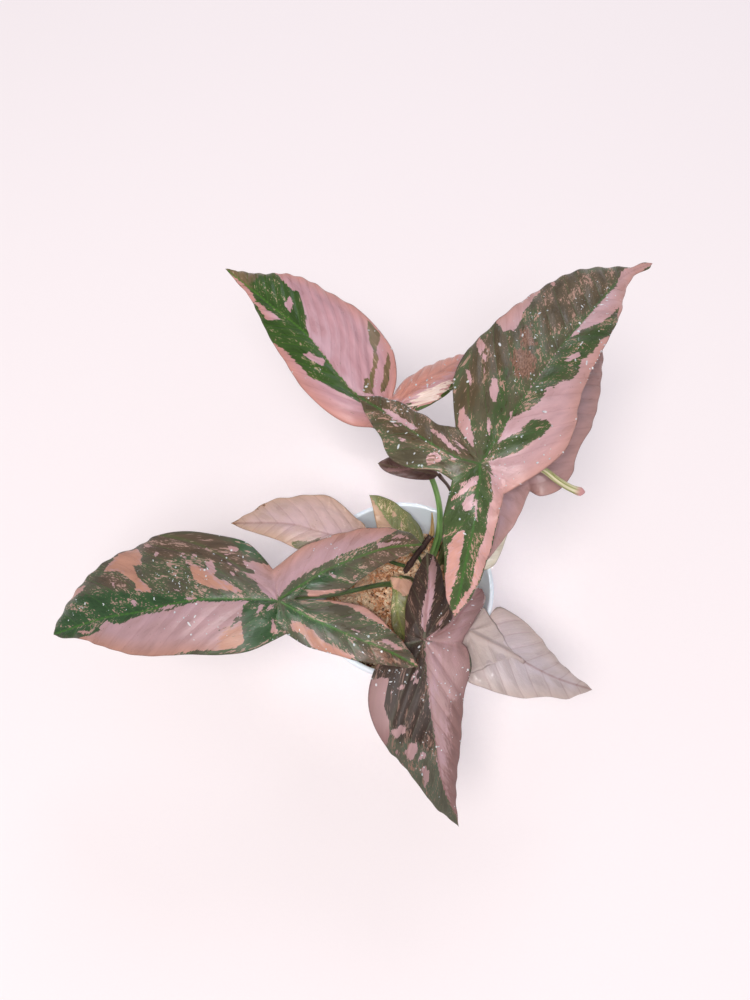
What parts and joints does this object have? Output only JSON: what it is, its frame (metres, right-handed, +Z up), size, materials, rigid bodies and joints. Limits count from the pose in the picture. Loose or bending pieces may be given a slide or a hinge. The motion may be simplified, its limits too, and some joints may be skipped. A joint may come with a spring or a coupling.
{
  "type": "potted pink splash syngonium",
  "caption": "Potted arrowhead vine with large pink and green variegated leaves on slim petioles, in a plain tapered white plastic pot filled with dried sphagnum moss.",
  "frame": {"origin": "centre of the pot's flat underside, where it stands", "axes": "+Z up out of the pot; +Y towards the back, where the two upper leaves point; +X towards the right"},
  "size_m": [0.3493, 0.3183, 0.212],
  "materials": {
    "white_plastic": "gloss",
    "dried_sphagnum": "matte",
    "stem_brown": "satin",
    "sheath_straw": "matte",
    "furled_yellow_green": "satin",
    "leaf_olive_pink": "satin",
    "leaf_pink_green": "satin",
    "leaf_mauve": "satin",
    "leaf_dark_pink": "satin",
    "leaf_pale": "satin",
    "leaf_olive": "satin",
    "leaf_maroon": "satin",
    "petiole_green": "satin",
    "petiole_maroon": "satin"
  },
  "bodies": {
    "root": {"pot": "white_plastic", "sphagnum_moss": "dried_sphagnum", "main_stem": "stem_brown", "dry_sheath": "sheath_straw", "furled_leaf": "furled_yellow_green", "leaf_upper_right_blade": "leaf_olive_pink", "leaf_upper_right_petiole": "petiole_green", "leaf_under_right_blade": "leaf_mauve", "leaf_under_right_petiole": "petiole_green", "leaf_upper_left_blade": "leaf_pink_green", "leaf_upper_left_petiole": "petiole_green", "leaf_left_blade": "leaf_olive_pink", "leaf_left_petiole": "petiole_green", "leaf_front_blade": "leaf_dark_pink", "leaf_front_petiole": "petiole_maroon", "leaf_front_right_blade": "leaf_pale", "leaf_front_right_petiole": "petiole_maroon", "leaf_low_left_blade": "leaf_pale", "leaf_low_left_petiole": "petiole_green", "leaf_low_back_blade": "leaf_olive", "leaf_low_back_petiole": "petiole_green", "leaf_small_maroon_blade": "leaf_maroon", "leaf_small_maroon_petiole": "petiole_maroon", "leaf_small_middle_blade": "leaf_olive", "leaf_small_middle_petiole": "petiole_green", "leaf_low_right_blade": "leaf_pale", "leaf_low_right_petiole": "petiole_green"}
  },
  "joints": []
}
